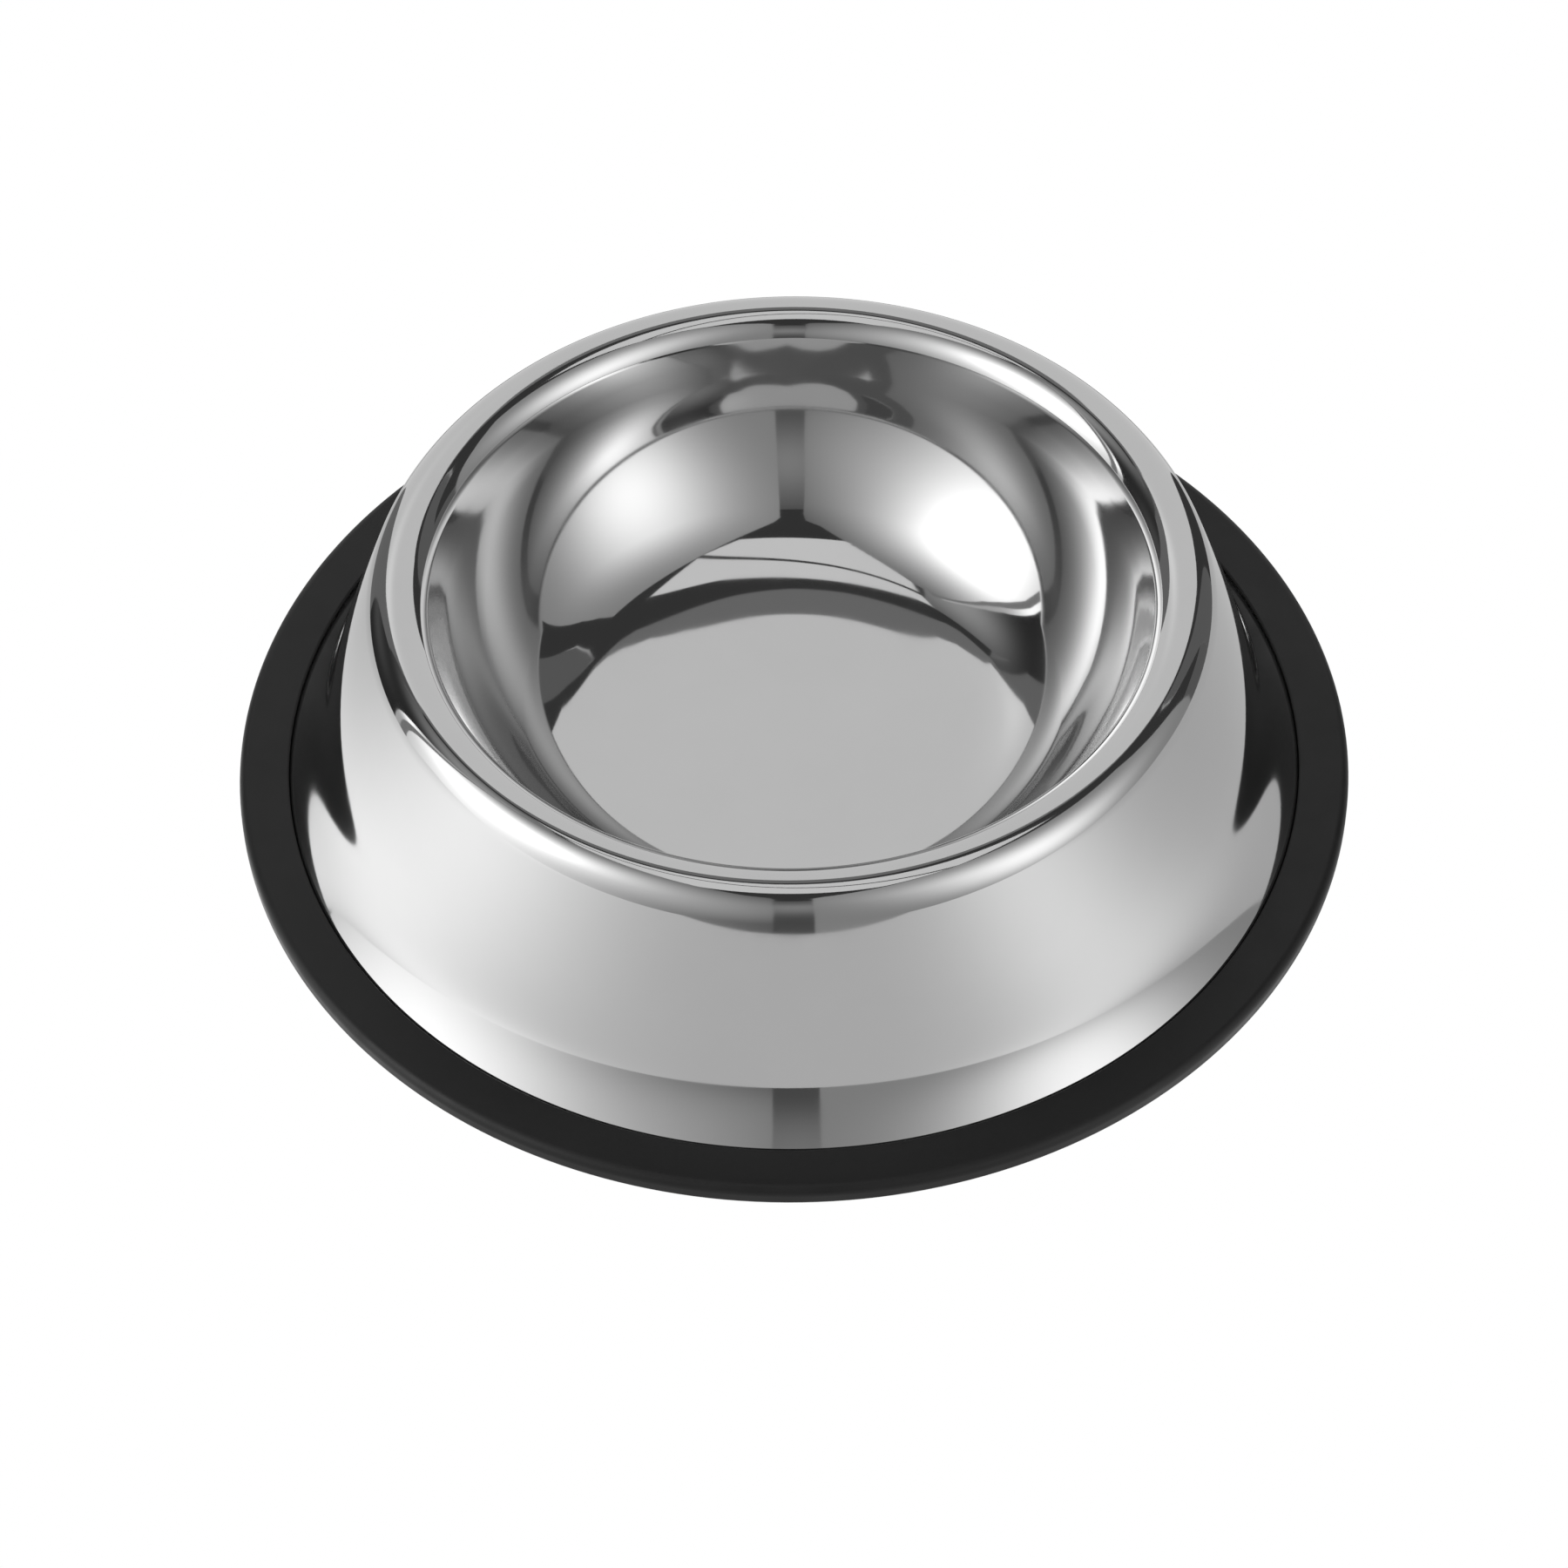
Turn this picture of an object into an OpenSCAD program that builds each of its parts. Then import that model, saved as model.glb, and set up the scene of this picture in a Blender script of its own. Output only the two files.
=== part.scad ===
// Non-tip dog bowl, in millimetres, standing on the XY plane with its centre line on Z.
// One sheet of stainless steel is drawn into the basin, turned over at the rim and flared out
// into the skirt. The skirt's foot turns out into a flat flange, and a moulded rubber ring is
// stretched over that flange and grips it above and below.

/* [Overall] */
// Diameter across the rubber ring
base_d = 220; // [200:1:260]
// Height of the rim's crest above the table
bowl_h = 52.2; // [44:0.1:64]

/* [Rim] */
// Diameter of the circle along the crest of the rim
crest_d = 151; // [136:0.1:160]
// Bend radius of the rim on the basin's side
rim_in_r = 6.1; // [3:0.1:8]
// Bend radius of the rim on the skirt's side
rim_out_r = 6.2; // [4:0.1:8]
// Angle that the outer bend turns through before the shoulder
rim_out_turn = 51; // [40:1:62]
// Bend radius of the shoulder, where the rim eases into the skirt
shoulder_r = 10; // [8:0.5:20]

/* [Basin] */
// Thickness of the steel sheet
sheet_t = 0.7; // [0.4:0.1:1.2]
// Air gap between the floor and the table
floor_gap = 8.6; // [4:0.1:14]
// Radius of the shallow bend that leaves the flat floor
ease_r = 56.6; // [40:0.1:76]
// Slope at the end of that bend
ease_turn = 14.5; // [8:0.1:20]
// Radius of the tighter bend between floor and wall
corner_r = 26.9; // [18:0.1:36]
// Slope at the end of the tighter bend, where the wall begins
corner_turn = 44.3; // [36:0.1:52]
// Slope of the straight stretch of wall under the rim
wall_slope = 71.9; // [66:0.1:78]
// Length of that stretch, up the slope
wall_run = 7.4; // [1:0.1:12]

/* [Skirt] */
// Slope of the skirt just below the shoulder
skirt_slope = 69.2; // [63:0.1:74]
// Slope of the skirt where it meets the rubber
foot_slope = 51.4; // [44:0.1:58]
// Bend radius where the foot turns out into the flange
foot_bend_r = 1.2; // [0.8:0.1:1.4]
// Width of the flat flange under the rubber
flange_w = 2.5; // [1.5:0.1:3.5]

/* [Rubber ring] */
// Width of rubber between the skirt and the ring's outer edge
ring_w = 9.8; // [7.5:0.1:14]
// Height of the lip that lies against the skirt
ring_h = 3.8; // [3.7:0.1:5.5]
// Height of the ring's top near its outer edge
ring_edge_h = 4; // [3.5:0.1:5.5]
// Rounding of the ring's outer top edge
ring_top_r = 1.8; // [1:0.1:2.2]
// Rounding of the ring's lower edges
ring_foot_r = 0.8; // [0.4:0.1:0.9]
// Rounding of the lip against the skirt
lip_r = 0.45; // [0.3:0.05:0.6]
// Thickness of rubber under the flange
rubber_under = 1.2; // [1:0.1:1.3]
// Width of rubber under the foot, inward from the start of the ring
tread_w = 2.5; // [1:0.1:5]
// Clearance between the rubber and the steel's visible face
rubber_gap = 0.1; // [0.05:0.05:0.2]

/* [Hidden] */

// Fineness of the turned surfaces
$fn = 180;
// Steps along a bend and along the skirt
bend_steps = 10;
skirt_steps = 22;
// Lengths of the skirt's handles, as shares of the straight line between its ends
skirt_top_share = 0.71;
skirt_foot_share = 0.37;

base_r = base_d / 2;
crest_r = crest_d / 2;

// Direction of a surface that is tilted outwards by an angle from level
function facing(a) = [sin(a), cos(a)];

// Direction down and out along a slope
function downhill(a) = [cos(a), -sin(a)];

// A station is a point of the visible face with the direction that the face looks in.
// A negative radius makes a hollow bend instead of a round one.
function bend(centre, r, from, to, first = 1) = [
    for (i = [first:bend_steps])
        let (a = from + (to - from) * i / bend_steps)
            [centre + r * facing(a), facing(a)]
];

// Stations along a cubic curve that leaves its first end along one direction and reaches its
// last end along another. The face looks to the left of the way that the curve runs.
function curve(from, leaving, to, arriving, from_share, to_share, steps) =
    let (
        span = norm(to - from),
        b = from + span * from_share * leaving,
        c = to - span * to_share * arriving
    )
    [
        for (i = [1:steps])
            let (
                t = i / steps,
                u = 1 - t,
                point = u * u * u * from + 3 * u * u * t * b + 3 * u * t * t * c + t * t * t * to,
                run = u * u * (b - from) + 2 * u * t * (c - b) + t * t * (to - c)
            )
            [point, [-run.y, run.x] / norm(run)]
    ];

// Basin: flat floor, three hollow bends, then a straight stretch of wall up to the rim. The
// third bend's radius fills the height that the rest leave, and the floor is as wide as all of
// them leave it.
floor_z = floor_gap + sheet_t;
rim_in_centre = [crest_r, bowl_h - rim_in_r];
wall_top = rim_in_centre + rim_in_r * facing(-wall_slope);
ease_rise = ease_r * (1 - cos(ease_turn));
corner_rise = corner_r * (cos(ease_turn) - cos(corner_turn));
wall_bend_end = wall_top - wall_run * downhill(-wall_slope);
wall_rise = wall_bend_end.y - floor_z - ease_rise - corner_rise;
wall_r = wall_rise / (cos(corner_turn) - cos(wall_slope));
wall_centre = wall_bend_end + wall_r * facing(-wall_slope);
corner_centre = wall_centre - (wall_r - corner_r) * facing(-corner_turn);
ease_centre = corner_centre + (ease_r - corner_r) * facing(-ease_turn);
basin_face = concat(
    [[[0, floor_z], facing(0)]],
    bend(ease_centre, -ease_r, 0, -ease_turn, 0),
    bend(corner_centre, -corner_r, -ease_turn, -corner_turn),
    bend(wall_centre, -wall_r, -corner_turn, -wall_slope)
);

// Rim: two bends that meet at the crest, and the wider bend of the shoulder
rim_out_centre = [crest_r, bowl_h - rim_out_r];
rim_out_end = rim_out_centre + rim_out_r * facing(rim_out_turn);
shoulder_centre = rim_out_end - shoulder_r * facing(rim_out_turn);
shoulder_end = shoulder_centre + shoulder_r * facing(skirt_slope);
rim_face = concat(
    bend(rim_in_centre, rim_in_r, -wall_slope, 0, 0),
    bend(rim_out_centre, rim_out_r, 0, rim_out_turn),
    bend(shoulder_centre, shoulder_r, rim_out_turn, skirt_slope)
);

// Skirt: a hollow curve from the shoulder down to the point where the rubber's lip touches it
lip_reach = rubber_gap + lip_r;
seat = [base_r - ring_w, ring_h - lip_r - lip_reach * cos(foot_slope)];
skirt_face = curve(
    shoulder_end, downhill(skirt_slope), seat, downhill(foot_slope),
    skirt_top_share, skirt_foot_share, skirt_steps
);

// Foot: straight on under the rubber, then turned out into the flat flange
flange_top = rubber_under + sheet_t;
foot_drop = seat.y - flange_top;
foot_run = (foot_drop - foot_bend_r * (1 - cos(foot_slope))) / sin(foot_slope);
foot_bend_start = seat + foot_run * downhill(foot_slope);
foot_centre = foot_bend_start + foot_bend_r * facing(foot_slope);
flange_r = foot_centre.x + flange_w;
foot_face = concat(
    bend(foot_centre, -foot_bend_r, foot_slope, 0, 0),
    [[[flange_r, flange_top], facing(0)]]
);

shell_face = concat(basin_face, rim_face, skirt_face, foot_face);

// Rubber ring: its top is the straight line that touches the lip's round and the outer round
lip_centre = seat + lip_reach * facing(foot_slope);
ring_top_centre = [base_r - ring_top_r, ring_edge_h - ring_top_r];
ring_top_run = ring_top_centre - lip_centre;
ring_top_tilt = asin((lip_r - ring_top_r) / norm(ring_top_run)) - atan2(ring_top_run.y, ring_top_run.x);
tread_r = seat.x - tread_w;

// The steel sheet: the visible face out, and the same stations set back by the sheet's thickness
module steel_shell() {
    front = [for (s = shell_face) s[0]];
    back = [for (i = [len(shell_face) - 1:-1:0]) shell_face[i][0] - sheet_t * shell_face[i][1]];
    color("silver")
        rotate_extrude()
            polygon(concat(front, back));
}

// The rubber ring: tread, outer side and top, then the mouth that takes the foot and its flange
module rubber_ring() {
    corner = function(centre, r, from, to) [for (s = bend(centre, r, from, to, 0)) s[0]];
    tread = concat(
        corner([tread_r + ring_foot_r, ring_foot_r], ring_foot_r, -90, -180),
        corner([base_r - ring_foot_r, ring_foot_r], ring_foot_r, 180, 90)
    );
    top = concat(
        corner(ring_top_centre, ring_top_r, 90, ring_top_tilt),
        corner(lip_centre, lip_r, ring_top_tilt, foot_slope - 180)
    );
    mouth = concat(
        corner(foot_centre, rubber_gap - foot_bend_r, foot_slope, 0),
        [[flange_r + rubber_gap, flange_top + rubber_gap]],
        [[flange_r + rubber_gap, rubber_under]],
        [[tread_r, rubber_under]]
    );
    color([0.07, 0.07, 0.07])
        rotate_extrude()
            polygon(concat(tread, top, mouth));
}

steel_shell();
rubber_ring();
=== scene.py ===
# %% [markdown]
# A polished steel pet bowl with a rubber ring.
# The real bowl has two pieces. One round sheet of stainless steel is drawn into a basin, rolled
# over at the rim and flared out into a wide skirt, so that a dog can't tip it. A moulded rubber
# ring is stretched over the skirt's foot, so that it doesn't slide.
# A mirror finish shows nothing of its own. What the eye reads as steel is the studio, bent by
# the curves, so this lesson is about two things: exact smooth curves, and plain light panels in
# the right places.

import math

import bmesh
import bpy
from mathutils import Matrix, Vector
from mathutils.bvhtree import BVHTree
from mathutils.geometry import interpolate_bezier


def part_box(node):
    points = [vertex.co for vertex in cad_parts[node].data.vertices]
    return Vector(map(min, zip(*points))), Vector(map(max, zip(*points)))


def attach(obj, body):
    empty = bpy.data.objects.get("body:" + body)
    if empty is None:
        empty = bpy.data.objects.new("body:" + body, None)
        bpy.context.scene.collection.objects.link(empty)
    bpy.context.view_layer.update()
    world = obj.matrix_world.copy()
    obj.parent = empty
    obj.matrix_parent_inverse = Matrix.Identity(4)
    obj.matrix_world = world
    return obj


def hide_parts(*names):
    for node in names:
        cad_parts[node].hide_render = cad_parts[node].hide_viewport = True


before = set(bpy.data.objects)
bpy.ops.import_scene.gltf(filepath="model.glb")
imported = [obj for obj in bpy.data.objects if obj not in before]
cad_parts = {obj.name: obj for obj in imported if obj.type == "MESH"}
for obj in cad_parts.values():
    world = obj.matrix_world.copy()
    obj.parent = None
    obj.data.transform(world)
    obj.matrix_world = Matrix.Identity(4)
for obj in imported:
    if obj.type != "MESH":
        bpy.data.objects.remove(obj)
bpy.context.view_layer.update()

# %% [markdown]
# Small helpers.
# Blender measures in metres and a maker measures in millimetres, so one value turns one into
# the other. Colours are picked as the eye sees them and have to be turned to linear light. Each
# material is a handful of nodes, and one function adds a node with its settings and its links.

# %% Units, colours and nodes
mm = 0.001
white = (1, 1, 1, 1)


def linear(hex_colour):
    """The linear colour, with alpha, of an sRGB hex value such as "c7c7c7"."""
    parts = [int(hex_colour[i:i + 2], 16) / 255 for i in (0, 2, 4)]
    bright = [p / 12.92 if p <= 0.04045 else ((p + 0.055) / 1.055) ** 2.4 for p in parts]
    return (*bright, 1)


def add(tree, kind, settings=None, **inputs):
    """Adds a node. An input is a value, or another node's output socket to link from.

    A name such as _1 stands for the input of that number.
    """
    node = tree.nodes.new("ShaderNode" + kind)
    for name, value in (settings or {}).items():
        setattr(node, name, value)
    for name, value in inputs.items():
        socket = node.inputs[int(name[1:]) if name[0] == "_" else name.replace("_", " ")]
        if isinstance(value, bpy.types.NodeSocket):
            tree.links.new(value, socket)
        else:
            socket.default_value = value
    return node


def new_material(name):
    """An empty material and its node tree."""
    material = bpy.data.materials.new(name)
    material.use_nodes = True
    material.node_tree.nodes.clear()
    return material, material.node_tree


# %% [markdown]
# Drawing a section with a pen.
# Both pieces are round, so each is one section turned about the centre line. On the real bowl
# every curve is a bend over a tool of some radius. A list of points could trace them, but then
# nobody could change a radius. Here a pen draws the section as a wire: it goes straight, or it
# bends round a radius by spinning its last point about the bend's centre, so each bend is a
# true arc with as many steps as a mirror needs.

# %% The pen
step_turn = 2


def heading(angle):
    """The direction in the XZ plane at an angle above +X."""
    return Vector((math.cos(math.radians(angle)), 0, math.sin(math.radians(angle))))


def pen_down(wire, x, z, angle):
    """Starts a wire at a point, heading along an angle."""
    return wire, wire.verts.new((x, 0, z)), angle


def point_to(pen, place):
    """Adds one point to the wire, and keeps the heading."""
    wire, last, angle = pen
    tip = bmesh.ops.extrude_vert_indiv(wire, verts=[last])["verts"][0]
    tip.co = place
    return wire, tip, angle


def straight(pen, length):
    """Goes straight on."""
    return point_to(pen, pen[1].co + length * heading(pen[2]))


def bend(pen, radius, turn):
    """Bends to the left for a positive turn in degrees, and to the right for a negative one."""
    wire, last, angle = pen
    centre = last.co + radius * heading(angle + math.copysign(90, turn))
    steps = max(2, round(abs(turn) / step_turn))
    arc = bmesh.ops.spin(
        wire, geom=[last], cent=centre, axis=(0, -1, 0), angle=math.radians(turn), steps=steps
    )
    tip = [v for v in arc["geom_last"] if isinstance(v, bmesh.types.BMVert)][0]
    return wire, tip, angle + turn


def face(pen, angle):
    """Turns on the spot."""
    return pen[0], pen[1], angle


# %% [markdown]
# The sizes.
# What the frame can tell is read from it: the crest's height, and the ring's diameter and height.
# The rest are the bend radii and slopes of the press tools, the same as in the CAD model.

# %% Sizes of the steel sheet and the ring
shell_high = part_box("steel_shell")[1]
ring_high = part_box("rubber_ring")[1]
crest_z = shell_high[2]
ring_r = ring_high[0]
ring_edge_h = ring_high[2]

sheet_t = 0.7 * mm
crest_r = 75.5 * mm
rim_in_r = 6.1 * mm
rim_out_r = 6.2 * mm
rim_out_turn = 51
shoulder_r = 10 * mm
skirt_slope = 69.2
foot_slope = 51.4
skirt_top_share = 0.71
skirt_foot_share = 0.37
foot_bend_r = 1.2 * mm
flange_w = 2.5 * mm

floor_z = 9.3 * mm
ease_r = 56.6 * mm
ease_turn = 14.5
corner_r = 26.9 * mm
corner_turn = 44.3
wall_slope = 71.9
wall_run = 7.4 * mm

ring_w = 9.8 * mm
ring_h = 3.8 * mm
ring_top_r = 1.8 * mm
ring_foot_r = 0.8 * mm
lip_r = 0.45 * mm
rubber_under = 1.2 * mm
rubber_gap = 0.1 * mm
tread_w = 2.5 * mm

flange_z = rubber_under + sheet_t
lip_reach = rubber_gap + lip_r
seat = Vector((
    ring_r - ring_w, 0, ring_h - lip_r - lip_reach * math.cos(math.radians(foot_slope))
))
foot_bend_drop = foot_bend_r * (1 - math.cos(math.radians(foot_slope)))
foot_run = (seat.z - flange_z - foot_bend_drop) / math.sin(math.radians(foot_slope))
print("The steel goes into the rubber at radius", round(seat.x / mm, 2), "mm")

# %% [markdown]
# The steel's section.
# The crest of the rim is the one point whose place is known from both sides, so the pen starts
# there twice. Inwards it rolls over the rim, runs straight down the wall, and eases out of
# three hollow bends into the flat floor. Outwards it rolls over to the shoulder, follows the
# skirt's slow hollow curve down to the rubber, and turns out into the flange.

# %% Draw the basin side
wall_steps = 2
floor_steps = 3
section = bmesh.new()
pen = pen_down(section, crest_r, crest_z, 180)
crest = pen[1]
pen = bend(pen, rim_in_r, wall_slope)
for step in range(wall_steps):
    pen = straight(pen, wall_run / wall_steps)


def fall(radius, high_slope, low_slope):
    """How far a bend drops between two slopes."""
    high, low = math.radians(high_slope), math.radians(low_slope)
    return radius * (math.cos(low) - math.cos(high))


lower_falls = fall(corner_r, corner_turn, ease_turn) + fall(ease_r, ease_turn, 0)
wall_r = (pen[1].co.z - floor_z - lower_falls) / fall(1, wall_slope, corner_turn)
pen = bend(pen, wall_r, corner_turn - wall_slope)
pen = bend(pen, corner_r, ease_turn - corner_turn)
pen = bend(pen, ease_r, -ease_turn)
floor_r = pen[1].co.x
for step in range(floor_steps):
    pen = straight(pen, floor_r / floor_steps)
print("Flat floor:", round(2 * floor_r / mm, 1), "mm wide, wall radius", round(wall_r / mm, 1))

# %% Draw the skirt side
skirt_steps = 48
pen = (section, crest, 0)
pen = bend(pen, rim_out_r, -rim_out_turn)
pen = bend(pen, shoulder_r, rim_out_turn - skirt_slope)
shoulder = pen[1].co.copy()
span = (seat - shoulder).length
curve = interpolate_bezier(
    shoulder, shoulder + skirt_top_share * span * heading(-skirt_slope),
    seat - skirt_foot_share * span * heading(-foot_slope), seat, skirt_steps + 1
)
for place in curve[1:]:
    pen = point_to(pen, place)
pen = straight(face(pen, -foot_slope), foot_run)
pen = bend(pen, foot_bend_r, foot_slope)
pen = straight(pen, flange_w)
print("Flange edge at", round(pen[1].co.x / mm, 2), "mm, CAD", round(shell_high[0] / mm, 2))

# %% [markdown]
# Turning the section.
# A full spin about the centre line makes the surface. Its seam and the pole in the floor are
# merged, and the faces are turned to look at the viewer before the sheet gets its thickness,
# because afterwards the two walls would be told apart by guessing.

# %% Spin and finish a mesh
turn_steps = 240
merge_gap = 0.002 * mm


def turned(wire):
    """Spins a section into a closed round surface with smooth faces, all facing one way."""
    bmesh.ops.spin(
        wire, geom=wire.verts[:] + wire.edges[:], cent=(0, 0, 0), axis=(0, 0, 1),
        angle=2 * math.pi, steps=turn_steps, use_merge=True
    )
    bmesh.ops.remove_doubles(wire, verts=wire.verts, dist=merge_gap)
    bmesh.ops.recalc_face_normals(wire, faces=wire.faces)
    for surface in wire.faces:
        surface.smooth = True
    return wire


def as_piece(bm, name):
    """Writes a bmesh to a new object, in place, with its object at the origin."""
    mesh = bpy.data.meshes.new(name)
    bm.to_mesh(mesh)
    bm.free()
    piece = bpy.data.objects.new(name, mesh)
    bpy.context.scene.collection.objects.link(piece)
    print(name, "has", len(mesh.polygons), "faces")
    return piece


# %% Turn the steel shell and give it its thickness
turned(section)
middle = min(section.faces, key=lambda f: f.calc_center_median().length)
if middle.normal.z < 0:
    bmesh.ops.reverse_faces(section, faces=section.faces)
skin = BVHTree.FromBMesh(section)
shell_points = [v.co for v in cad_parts["steel_shell"].data.vertices]
off = [skin.find_nearest(p)[3] for p in shell_points]
on_skin = [d for d in off if d < sheet_t / 2]
print("CAD points on the visible face lie within", round(max(on_skin) / mm, 3), "mm of it")
bmesh.ops.solidify(section, geom=section.faces[:], thickness=sheet_t)
for surface in section.faces:
    surface.smooth = True
shell = as_piece(section, "polished_shell")

# %% [markdown]
# The rubber ring's section.
# The ring is one closed loop: a flat tread, a rounded outer side, a top that slopes up to a thin
# lip, and a mouth that follows the steel's foot and takes its flange. The slope of the top
# touches the lip's round and the outer round, as a straight edge laid over both would.

# %% Draw and turn the ring
tread_r = seat.x - tread_w
lip_centre = seat + lip_reach * heading(90 - foot_slope)
top_centre = Vector((ring_r - ring_top_r, 0, ring_edge_h - ring_top_r))
top_run = top_centre - lip_centre
lean = math.asin((lip_r - ring_top_r) / top_run.length) - math.atan2(top_run.z, top_run.x)
top_tilt = math.degrees(lean)
top_flat = math.sqrt(top_run.length ** 2 - (ring_top_r - lip_r) ** 2)

loop = bmesh.new()
pen = pen_down(loop, tread_r + ring_foot_r, 0, 0)
pen = straight(pen, ring_r - tread_r - 2 * ring_foot_r)
pen = bend(pen, ring_foot_r, 90)
pen = straight(pen, top_centre.z - ring_foot_r)
pen = bend(pen, ring_top_r, 90 - top_tilt)
pen = straight(pen, top_flat)
pen = bend(pen, lip_r, 180 + top_tilt - foot_slope)
pen = straight(pen, foot_run)
pen = bend(pen, foot_bend_r - rubber_gap, foot_slope)
pen = straight(pen, flange_w + rubber_gap)
mouth_end = pen[1].co.x
pen = straight(face(pen, -90), pen[1].co.z - rubber_under)
pen = straight(face(pen, 180), mouth_end - tread_r)
pen = straight(face(pen, -90), rubber_under - ring_foot_r)
pen = bend(pen, ring_foot_r, 90)
turned(loop)
ring = as_piece(loop, "moulded_ring")

# %% [markdown]
# Handing the pieces to the frame.
# The CAD model already holds both solids at their real size. Each piece here is the same form
# with a finer surface, so it stands for its solid and rides on the same body.

# %% Ride and replace
for piece, node, slot in (
    (shell, "steel_shell", "polished_steel"),
    (ring, "rubber_ring", "black_rubber"),
):
    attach(piece, "root")
    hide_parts(node)
    print(piece.name, "stands for", node)

# %% [markdown]
# The steel's finish.
# Stainless steel of a pet bowl is bright drawn sheet, polished on a lathe while it turns. So it
# is a near mirror of a light grey, and it keeps three traces of its making: very fine lines
# round the centre from the polishing mop, a slow waviness from the press, and a thin film of
# handling marks that blurs the mirror a little in patches. All three are far shallower than
# they look, because a mirror shows a slope of a tenth of a degree. The lines of a real mop are
# too fine for a picture of the whole bowl, so they are drawn as far apart as they need to show.
# Low in the basin, light goes from wall to wall many times. A renderer stops after a few turns
# and leaves black there, so from the last turn on the steel itself glows with about the mean
# light
# of the studio: a painted glow in place of the missing turns.

# %% Lines from the polishing lathe
line_spacing = 0.9 * mm
line_depth = 0.0004 * mm
line_run = 2.5


def lathe_lines(tree, place):
    """Noise that changes fast outwards and along the height, and slowly round the centre."""
    level = add(tree, "VectorMath", {"operation": "MULTIPLY"}, _0=place, _1=(1, 1, 0))
    radius = add(tree, "VectorMath", {"operation": "LENGTH"}, _0=level.outputs[0])
    around = add(tree, "VectorMath", {"operation": "NORMALIZE"}, _0=level.outputs[0])
    run = add(tree, "VectorMath", {"operation": "SCALE"}, _0=around.outputs[0], Scale=line_run)
    line_number = add(
        tree, "Math", {"operation": "DIVIDE"}, _0=radius.outputs["Value"], _1=line_spacing
    )
    upward = add(tree, "CombineXYZ", Z=line_number.outputs[0])
    lathe = add(tree, "VectorMath", _0=run.outputs[0], _1=upward.outputs[0])
    height = add(tree, "SeparateXYZ", _0=place)
    turn_height = add(
        tree, "Math", {"operation": "DIVIDE"}, _0=height.outputs["Z"], _1=line_spacing
    )
    return add(
        tree, "TexNoise", {"noise_dimensions": "4D"}, Vector=lathe.outputs[0],
        W=turn_height.outputs[0], Scale=1.0, Detail=2.0
    )


print("Lathe lines every", round(line_spacing / mm, 2), "mm")

# %% Polished stainless steel
steel_colour = "c8c8c8"
steel_dull_colour = "c3c3c3"
wave_size = 14 * mm
wave_depth = 0.005 * mm
film_size = 22 * mm
film_starts = 0.35
film_is_full = 0.7
clear_rough = 0.035
film_rough = 0.075
last_bounce = 4
# How bright the steel's painted glow is from the last bounce on.
painted_last_bounce_glow = 0.7


def polished_stainless_steel():
    """A near mirror with lathe lines, press waves and a patchy film, and a painted glow at the
    last bounce.
    """
    material, tree = new_material("polished_stainless_steel")
    place = add(tree, "TexCoord").outputs["Object"]
    lines = lathe_lines(tree, place)
    waves = add(tree, "TexNoise", Vector=place, Scale=1 / wave_size, Detail=1.0)
    film = add(tree, "TexNoise", Vector=place, Scale=1 / film_size, Detail=4.0, Roughness=0.6)

    rough = add(
        tree, "MapRange", Value=film.outputs["Fac"], From_Min=film_starts,
        From_Max=film_is_full, To_Min=clear_rough, To_Max=film_rough
    )
    colour = add(tree, "ValToRGB", Fac=film.outputs["Fac"])
    colour.color_ramp.elements[0].color = linear(steel_colour)
    colour.color_ramp.elements[1].color = linear(steel_dull_colour)
    wave_bump = add(
        tree, "Bump", Height=waves.outputs["Fac"], Distance=wave_depth, Strength=1.0
    )
    line_bump = add(
        tree, "Bump", Height=lines.outputs["Fac"], Distance=line_depth, Strength=1.0,
        Normal=wave_bump.outputs[0]
    )
    # Painted glow: from the last bounce on, the steel emits about the studio's mean light.
    path = add(tree, "LightPath")
    late = add(
        tree, "Math", {"operation": "GREATER_THAN"}, _0=path.outputs["Glossy Depth"],
        _1=last_bounce - 0.5
    )
    painted_glow = add(tree, "Math", {"operation": "MULTIPLY"}, _0=late.outputs[0], _1=painted_last_bounce_glow)
    shader = add(
        tree, "BsdfPrincipled", Base_Color=colour.outputs["Color"], Metallic=1.0,
        Roughness=rough.outputs[0], Normal=line_bump.outputs[0], Emission_Color=white,
        Emission_Strength=painted_glow.outputs[0]
    )
    add(tree, "OutputMaterial", Surface=shader.outputs[0])
    return material


shell.data.materials.append(polished_stainless_steel())
print("Steel:", len(shell.data.materials[0].node_tree.nodes), "nodes")

# %% [markdown]
# The rubber's finish.
# The ring is black rubber, moulded in a steel tool with a fine satin skin. It is never quite
# black: the skin scatters a grey sheen where the light is low, and dust stays in its grain. The
# real grain is finer than a pixel, so it is drawn a little coarser.

# %% Moulded black rubber
rubber_colour = "0b0b0b"
rubber_worn_colour = "141414"
grain_size = 0.35 * mm
grain_depth = 0.02 * mm
cloud_size = 9 * mm
cloud_starts = 0.3
cloud_is_full = 0.7
rubber_rough = 0.42
rubber_cloud_rough = 0.54
rubber_shine = 0.38


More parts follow.
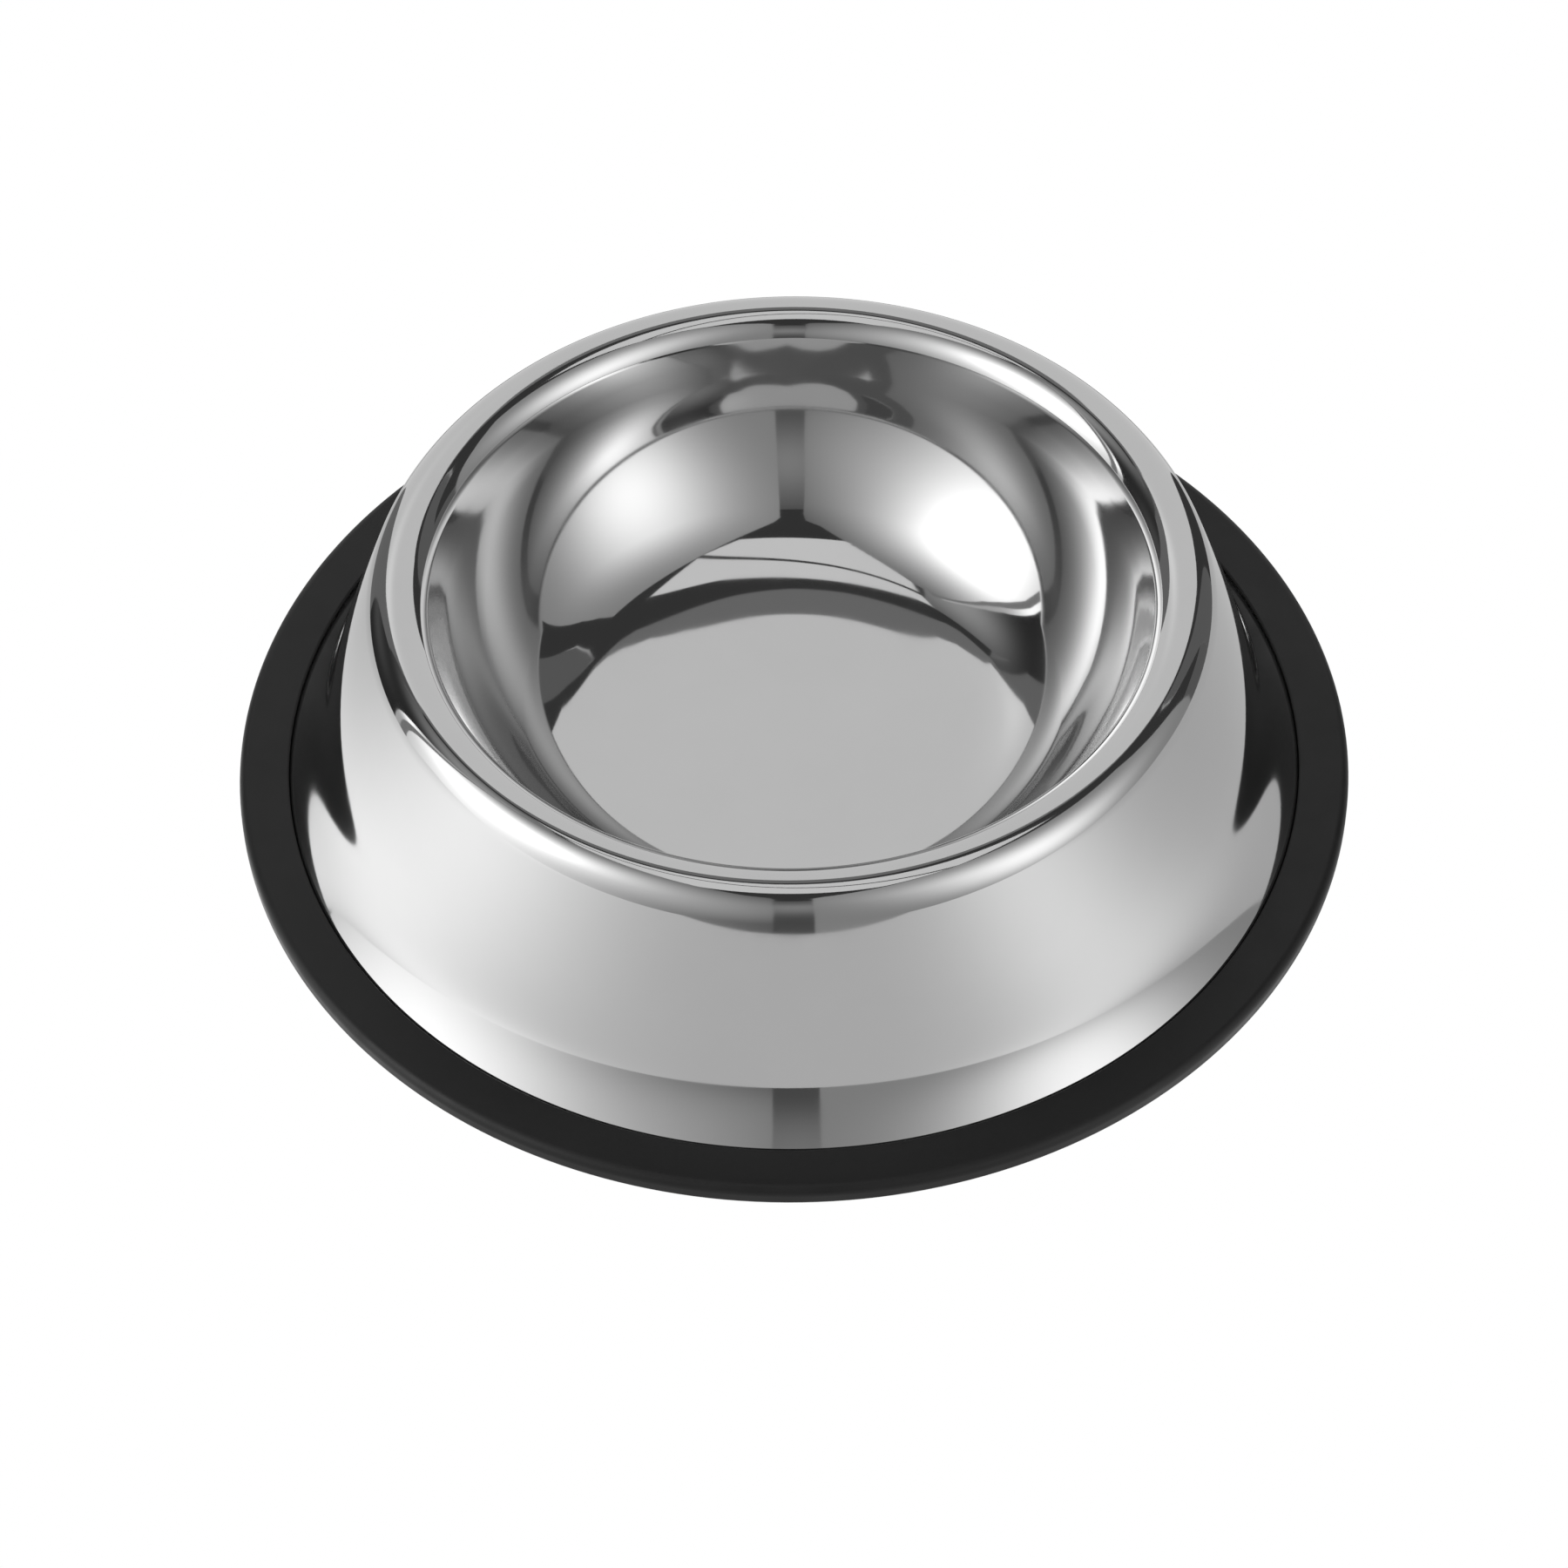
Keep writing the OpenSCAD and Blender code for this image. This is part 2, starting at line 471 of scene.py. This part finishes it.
def moulded_rubber():
    """Satin black rubber with a fine grain and faint cloudiness."""
    material, tree = new_material("moulded_black_rubber")
    place = add(tree, "TexCoord").outputs["Object"]
    grain = add(tree, "TexNoise", Vector=place, Scale=1 / grain_size, Detail=2.0)
    cloud = add(tree, "TexNoise", Vector=place, Scale=1 / cloud_size, Detail=3.0)
    colour = add(tree, "ValToRGB", Fac=cloud.outputs["Fac"])
    colour.color_ramp.elements[0].color = linear(rubber_colour)
    colour.color_ramp.elements[1].color = linear(rubber_worn_colour)
    rough = add(
        tree, "MapRange", Value=cloud.outputs["Fac"], From_Min=cloud_starts,
        From_Max=cloud_is_full, To_Min=rubber_rough, To_Max=rubber_cloud_rough
    )
    bump = add(tree, "Bump", Height=grain.outputs["Fac"], Distance=grain_depth, Strength=0.6)
    shader = add(
        tree, "BsdfPrincipled", Base_Color=colour.outputs["Color"],
        Roughness=rough.outputs[0], Specular_IOR_Level=rubber_shine, Normal=bump.outputs[0]
    )
    add(tree, "OutputMaterial", Surface=shader.outputs[0])
    return material


ring.data.materials.append(moulded_rubber())
print("Rubber:", len(ring.data.materials[0].node_tree.nodes), "nodes")

# %% [markdown]
# The studio round the bowl.
# A mirror needs something to show. Here that is a plain product studio: a white sheet overhead
# in two lengths, two large panels in front with a narrow gap between them, a pale backdrop
# behind, and the dim room at both sides. Each of them is one outline on a wide sphere round the
# bowl, far enough out that little but its direction counts. So its corners are given as
# directions from the bowl: the azimuth from the camera's side, growing to the right, and the
# height above the table. Where one thing has a border, the border is a larger outline a little
# farther out, and shows round its edge.

# %% Directions
def toward(azimuth, height):
    """The direction at an azimuth and a height in degrees."""
    a, e = math.radians(azimuth), math.radians(height)
    return Vector((math.sin(a) * math.cos(e), -math.cos(a) * math.cos(e), math.sin(e)))


def overhead(x, y):
    """The direction to a place on a level ceiling, in ceiling heights from the middle."""
    return Vector((x, y, 1)).normalized()


# %% Glow and panels
studio_r = 2.4
layer_gap = 0.03
panel_cuts = 7


def glow(tree, level, spots):
    """Plain light of one level, plus soft spots: an amount, a direction and a tightness each."""
    place = add(tree, "TexCoord").outputs["Object"]
    way = add(tree, "VectorMath", {"operation": "NORMALIZE"}, _0=place)
    strength = level
    for amount, centre, tightness in spots:
        near = add(
            tree, "VectorMath", {"operation": "DOT_PRODUCT"}, _0=way.outputs[0], _1=centre
        )
        ahead = add(tree, "Math", {"operation": "MAXIMUM"}, _0=near.outputs["Value"], _1=0.0)
        spot = add(tree, "Math", {"operation": "POWER"}, _0=ahead.outputs[0], _1=tightness)
        total = add(
            tree, "Math", {"operation": "MULTIPLY_ADD"}, _0=spot.outputs[0], _1=amount,
            _2=strength
        )
        strength = total.outputs[0]
    return add(tree, "Emission", Strength=strength)


def panel(name, corners, level, spots=(), layer=0):
    """A lit outline through the given directions, which the camera doesn't see."""
    bm = bmesh.new()
    distance = studio_r + layer * layer_gap
    outline = [bm.verts.new(distance * corner) for corner in corners]
    bmesh.ops.contextual_create(bm, geom=outline)
    bmesh.ops.poke(bm, faces=bm.faces[:])
    bmesh.ops.subdivide_edges(bm, edges=bm.edges[:], cuts=panel_cuts, use_grid_fill=True)
    for point in bm.verts:
        point.co = distance * point.co.normalized()
    sheet = as_piece(bm, name)
    sheet.visible_camera = False
    material, tree = new_material(name + "_light")
    add(tree, "OutputMaterial", Surface=glow(tree, level, spots).outputs[0])
    sheet.data.materials.append(material)
    return sheet


# %% [markdown]
# The overhead sheets.
# Two lengths of white cloth hang level over the table. Where they meet, a narrow slit of the dim
# room shows between them, and the basin draws it as a thin line across the back of the floor.

# %% Overhead sheets
overhead_level = 0.9
panel("overhead_back", [
    overhead(-0.30, 0.41), overhead(0.40, 0.25), overhead(0.34, -0.085), overhead(-0.305, 0.325)
], level=overhead_level)
panel("overhead_front", [
    overhead(-0.31, 0.295), overhead(0.325, -0.115), overhead(0.21, -0.275),
    overhead(-0.225, -0.225), overhead(-0.335, 0.2)
], level=overhead_level)

# %% [markdown]
# The front panels.
# A lamp stands behind each, so the cloth is bright in the middle and fades to its edges. Seen
# in the basin, that fade is what makes the wall look deep. The left panel has a double border
# of grey and white trim on its far side.

# %% Front panels
below = -25
left_top = [
    toward(-6.5, 55), toward(-8.5, 60.8), toward(-18, 64.5), toward(-45, 72.8),
    toward(-100, 73.2), toward(-123, 67.5)
]
panel("front_left", [
    toward(-5.1, below), toward(-5.1, 20), toward(-6, 40), *left_top, toward(-122, 63.5),
    toward(-117, 60), toward(-109, 53), toward(-105, 48), toward(-102.5, 40),
    toward(-101.5, 30), toward(-101.5, below)
], level=0, spots=[
    (1.93, toward(-80, 32), 6.5), (1.2, toward(-78, 36), 25), (1.45, toward(-79, -25), 5),
    (0.46, toward(-26, 23), 5)
])
panel("left_border", [
    toward(-60, below), toward(-60, 60), toward(-100, 68), toward(-128, 64.5), toward(-119, 60),
    toward(-112, 54), toward(-107, 47), toward(-105, 40), toward(-104.5, 20),
    toward(-104.5, below)
], level=0.27, layer=1)
panel("left_trim", [
    toward(-60, below), toward(-60, 60), toward(-100, 67), toward(-125, 62.5),
    toward(-116, 56.5), toward(-110.5, 49), toward(-107.8, 40), toward(-107, 20),
    toward(-107, below)
], level=0.6, spots=[(1.2, toward(-106, 22), 60)], layer=2)
panel("front_right", [
    toward(3.9, below), toward(3.9, 20), toward(4.2, 45), toward(5, 58), toward(8.5, 61.5),
    toward(14, 64), toward(38, 69.5), toward(100, 66), toward(119, 55.5), toward(113, 50),
    toward(109.5, 42), toward(108.5, 30), toward(107.5, 20), toward(106, below)
], level=0.34, spots=[(1.03, toward(56, 33), 11), (0.7, toward(56, 12), 18)])
panel("gap_screen", [
    toward(-9, below), toward(-9, 51), toward(9, 51), toward(9, below)
], level=0.1, spots=[(0.22, toward(0, 30), 30)], layer=1)

# %% [markdown]
# The backdrop and what stands round it.
# Behind the bowl hangs a pale backdrop. The basin's flat floor looks straight at it, so most of
# the floor is its one even grey. The dim ceiling over it is the darker band at the back of the
# floor. A wall with a haze of light on it stands at its left, and a screen with a pale edge at
# its right.

# %% Backdrop and ceiling
panel("backdrop", [
    toward(152.5, below), toward(147, 0), toward(142, 20), toward(139.5, 33), toward(145, 50.5),
    toward(152, 55.8), toward(160, 57.8), toward(170, 57), toward(180, 53.5), toward(-170, 56),
    toward(-160, 57.3), toward(-155, 56), toward(-150, 51.5), toward(-145, 50),
    toward(-140.5, 33), toward(-143.5, 12), toward(-146, 0), toward(-153, below)
], level=0.83, spots=[(0.23, toward(-145, 38), 60)])
panel("ceiling", [
    toward(143, 30), toward(143, 50), toward(150, 59), toward(160, 62.3), toward(170, 65),
    toward(180, 66), toward(-170, 65.3), toward(-160, 63), toward(-150, 59.5),
    toward(-142, 50), toward(-142, 30)
], level=0.22, layer=1)

# %% The two sides of the room
panel("left_haze", [
    toward(-100, below), toward(-131, below), toward(-130, 33), toward(-131, 42),
    toward(-136, 48.5), toward(-146, 50.5), toward(-152, 56), toward(-146, 64),
    toward(-130, 66), toward(-100, 66)
], level=0.03, spots=[(0.4, toward(-116, 58), 30), (0.06, toward(-128, 10), 40)], layer=3)
panel("left_wall", [
    toward(-118, below), toward(-118, 45), toward(-148, 51), toward(-143, 25),
    toward(-155, below)
], level=0.19, layer=4)
right_screen = [
    toward(138.5, 50.3), toward(137, 44), toward(135, 38), toward(133.5, 22),
    toward(133.5, below), toward(119, below), toward(119.5, 20), toward(120, 36)
]
panel("right_screen", [*right_screen, toward(122, 42.3), toward(130, 47.8)], level=0.15)
panel("screen_edge", [
    *right_screen, toward(121.6, 42.8), toward(129.8, 48.5), toward(139, 51)
], level=0.53, layer=1)
panel("right_wall", [
    toward(102, below), toward(102, 16), toward(112, 18), toward(122, 14), toward(122, below)
], level=0.14, layer=4)

# %% [markdown]
# The table and the room.
# The camera sees plain white to every edge. What the steel mirrors is greyer: the table is no
# lamp, but its light is painted on as a glow, dimmer than the lamps, with painted pools of light
# towards each panel. The table reaches far to both sides, but it ends just behind the bowl. The
# room behind it is dark, and greyer where it is seen by way of two walls of the basin, because
# each of them adds a little haze. The table lies a hair under the tread, so that the two don't
# share one plane.

# %% Table
table_level = 0.6
# Painted pools of light on the table's glow: towards the left panel, the right panel and the
# front.
table_light_pools = [(0.85, toward(-70, 0), 7.5), (0.5, toward(48, 0), 20), (0.08, toward(0, 0), 1)]
table_front = 0.35
table_back = 0.12
table_back_left = 0.045
back_corner = 0.12
left_corner = 0.45
tread_clearance = 0.1 * mm

bm = bmesh.new()
corners = [bm.verts.new((x, y, -tread_clearance)) for x, y in (
    (-studio_r, -table_front), (studio_r, -table_front), (studio_r, table_back),
    (-back_corner, table_back), (-left_corner, table_back_left), (-studio_r, table_back_left)
)]
bmesh.ops.contextual_create(bm, geom=corners)
table = as_piece(bm, "table")
table.visible_camera = False
# The table is no lamp: its light and its pools of light are painted on as a glow.
table_material, tree = new_material("table_painted_glow")
add(tree, "OutputMaterial", Surface=glow(tree, table_level, table_light_pools).outputs[0])
table.data.materials.append(table_material)

# %% Room light
room_level = 0.065
deep_level = 0.26
deep_bounce = 2

room = bpy.data.worlds.new("room")
bpy.context.scene.world = room
room.use_nodes = True
tree = room.node_tree
tree.nodes.clear()
path = add(tree, "LightPath")
deep = add(
    tree, "Math", {"operation": "GREATER_THAN"}, _0=path.outputs["Glossy Depth"],
    _1=deep_bounce - 0.5
)
depth_level = add(
    tree, "Math", {"operation": "MULTIPLY_ADD"}, _0=deep.outputs[0],
    _1=deep_level - room_level, _2=room_level
)
dim = add(tree, "Background", Strength=depth_level.outputs[0])
bright = add(tree, "Background", Color=white, Strength=1.0)
mixed = add(
    tree, "MixShader", Fac=path.outputs["Is Camera Ray"], _1=dim.outputs[0],
    _2=bright.outputs[0]
)
add(tree, "OutputWorld", Surface=mixed.outputs[0])
print("Room level:", room_level, "and", deep_level, "by way of two walls")

# %% [markdown]
# The camera.
# The picture was taken from in front and above with a long lens, about a metre away. The aim is
# a point near the middle of the bowl's foot, and a small roll sets the ring's axis upright as it
# was. The lens is worked out from how many pixels a metre spans at that distance.

# %% Camera at the picture's angle
camera_height = math.radians(48.952)
camera_distance = 1.0
camera_aim = Vector((-2.014, -6.886, 0)) * mm
camera_roll = math.radians(-0.959)
pixels_across = 1800
focal_pixels = 5786.9
sensor = 36

eye = camera_aim + camera_distance * Vector((
    0, -math.cos(camera_height), math.sin(camera_height)
))
camera_data = bpy.data.cameras.new("camera")
camera_data.sensor_width = sensor
camera_data.lens = focal_pixels * sensor / pixels_across
camera = bpy.data.objects.new("camera", camera_data)
bpy.context.scene.collection.objects.link(camera)
look = (camera_aim - eye).to_track_quat("-Z", "Y").to_matrix().to_4x4()
camera.matrix_world = Matrix.Translation(eye) @ look @ Matrix.Rotation(camera_roll, 4, "Z")
bpy.context.scene.camera = camera
bpy.context.scene.view_settings.view_transform = "Standard"
print("Lens:", round(camera_data.lens, 1), "mm")
